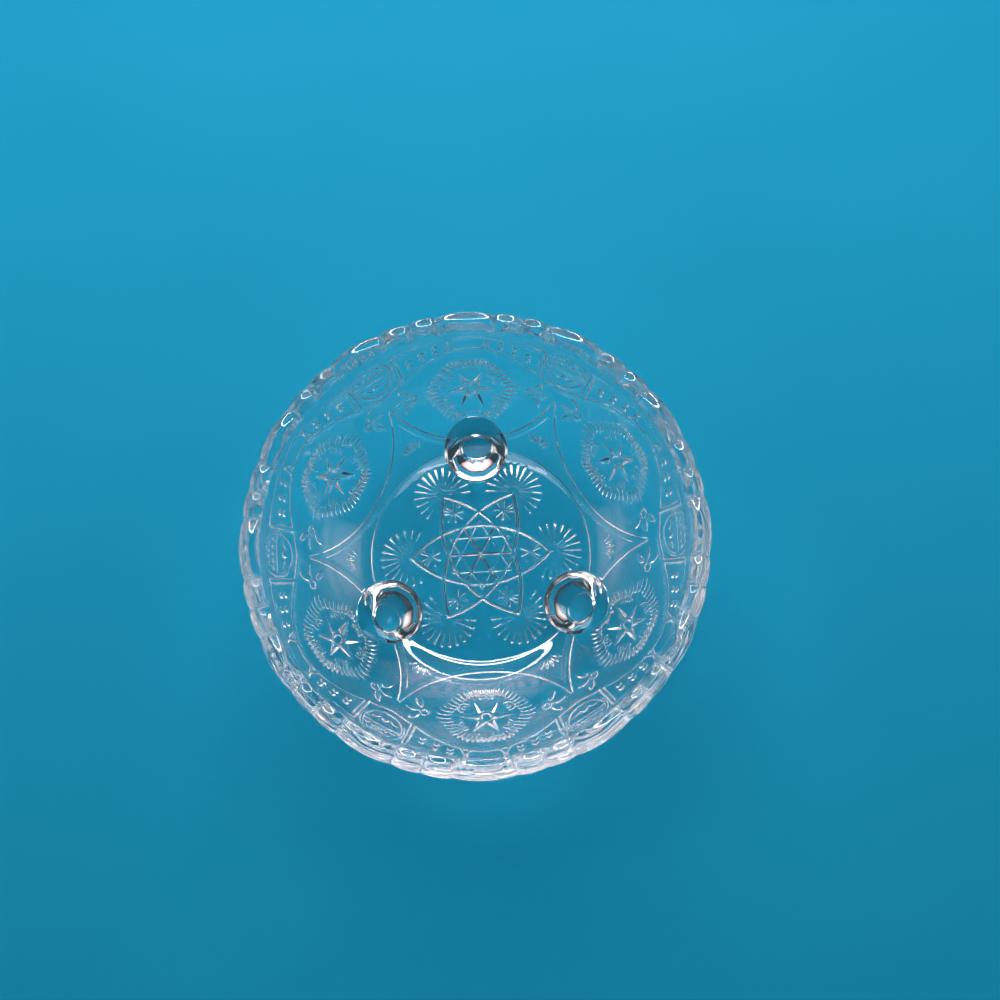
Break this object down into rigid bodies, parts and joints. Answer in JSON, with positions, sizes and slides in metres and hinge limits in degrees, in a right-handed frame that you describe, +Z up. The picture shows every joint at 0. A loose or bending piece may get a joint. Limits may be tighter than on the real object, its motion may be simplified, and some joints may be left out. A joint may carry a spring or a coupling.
{
  "type": "footed compote bowl",
  "caption": "Round pressed-glass compote bowl with a scalloped rim, smooth inside and raised flower, swag and star ornament outside, standing on solid peg feet.",
  "frame": {"origin": "on the table, under the middle of the bowl", "axes": "+Z up along the axis of the bowl, +Y towards the rear foot, +X to the right seen from the front"},
  "size_m": [0.19, 0.19, 0.078],
  "materials": {
    "bowl_glass": "clear pressed glass, fire polished",
    "relief_glass": "clear pressed glass with moulded relief",
    "foot_glass": "clear solid glass, toes lightly scuffed"
  },
  "bodies": {
    "root": {"bowl": "bowl_glass", "foot_rear": "foot_glass", "foot_left": "foot_glass", "foot_right": "foot_glass", "base_ring": "relief_glass", "base_star": "relief_glass", "base_fans": "relief_glass", "base_rosettes": "relief_glass", "swags": "relief_glass", "spandrel_fans": "relief_glass", "leaf_sprigs": "relief_glass", "bead_band": "relief_glass", "flower_rear": "relief_glass", "flower_rear_left": "relief_glass", "flower_front_left": "relief_glass", "flower_front": "relief_glass", "flower_front_right": "relief_glass", "flower_rear_right": "relief_glass", "button_right": "relief_glass", "button_rear_right": "relief_glass", "button_rear_left": "relief_glass", "button_left": "relief_glass", "button_front_left": "relief_glass", "button_front_right": "relief_glass"}
  },
  "joints": []
}
